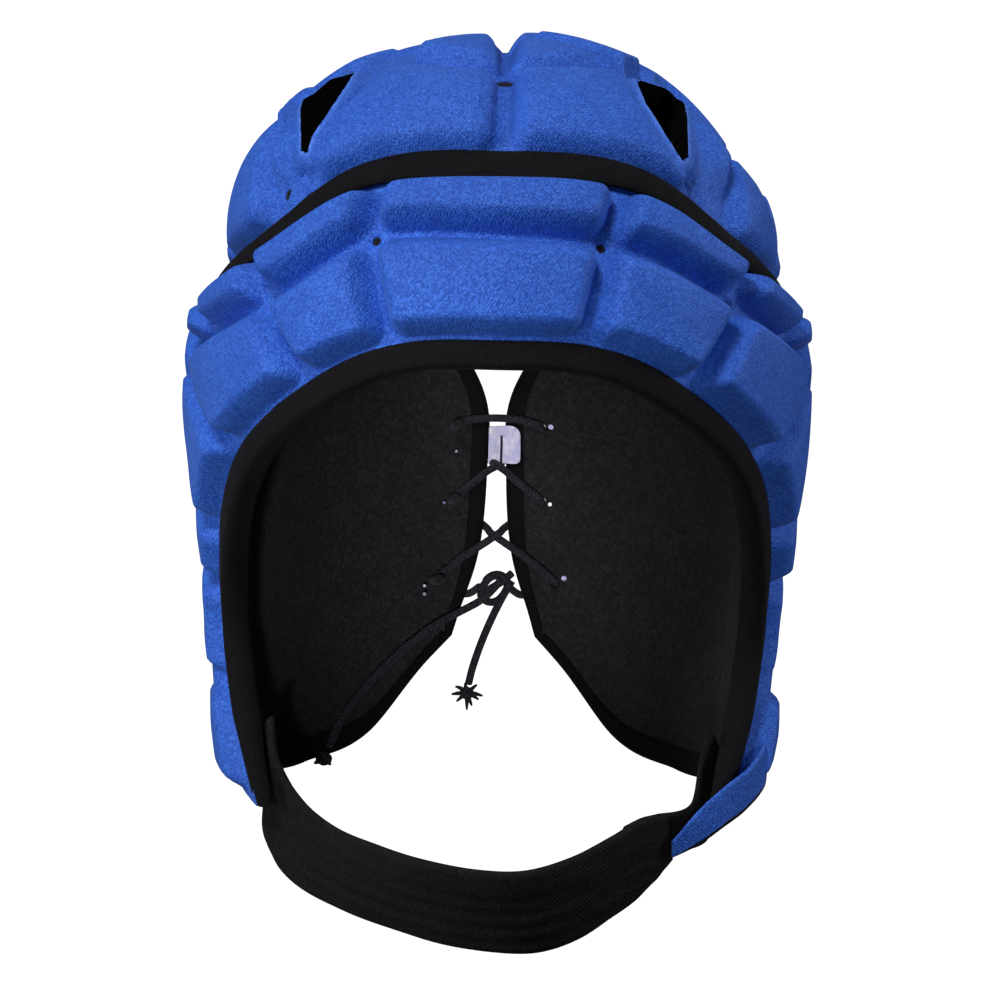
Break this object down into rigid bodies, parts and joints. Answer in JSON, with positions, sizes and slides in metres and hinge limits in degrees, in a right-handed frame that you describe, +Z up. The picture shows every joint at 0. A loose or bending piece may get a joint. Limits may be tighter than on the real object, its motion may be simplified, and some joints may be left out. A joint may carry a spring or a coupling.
{
  "type": "padded head guard",
  "caption": "Soft padded head guard with raised foam pads under fabric, a taped face opening, a laced back and a chin strap that closes at one cheek.",
  "frame": {"origin": "inside top of the crown, where the top of the head seats", "axes": "+Z up along the head, the face opening looks to -Y, +X is the wearer's left side"},
  "size_m": [0.183, 0.2103, 0.2529],
  "materials": {
    "padded_fabric": "knit fabric moulded over foam",
    "lining": "matte knit",
    "tape": "elastic tape",
    "strap": "soft webbing",
    "cord": "braided elastic cord",
    "label": "woven satin"
  },
  "bodies": {
    "root": {"front_panel": "padded_fabric", "crown_panel": "padded_fabric", "back_panel_left": "padded_fabric", "back_panel_right": "padded_fabric", "front_lining": "lining", "crown_lining": "lining", "back_lining_left": "lining", "back_lining_right": "lining", "seam_tape": "tape", "face_binding": "tape", "neck_binding_left": "tape", "neck_binding_right": "tape", "chin_strap": "strap", "strap_tab": "padded_fabric", "lace": "cord", "lace_knot": "cord", "lace_tail_left": "cord", "lace_tail_right": "cord", "tail_knot_left": "cord", "tail_knot_right": "cord", "care_label": "label"}
  },
  "joints": []
}
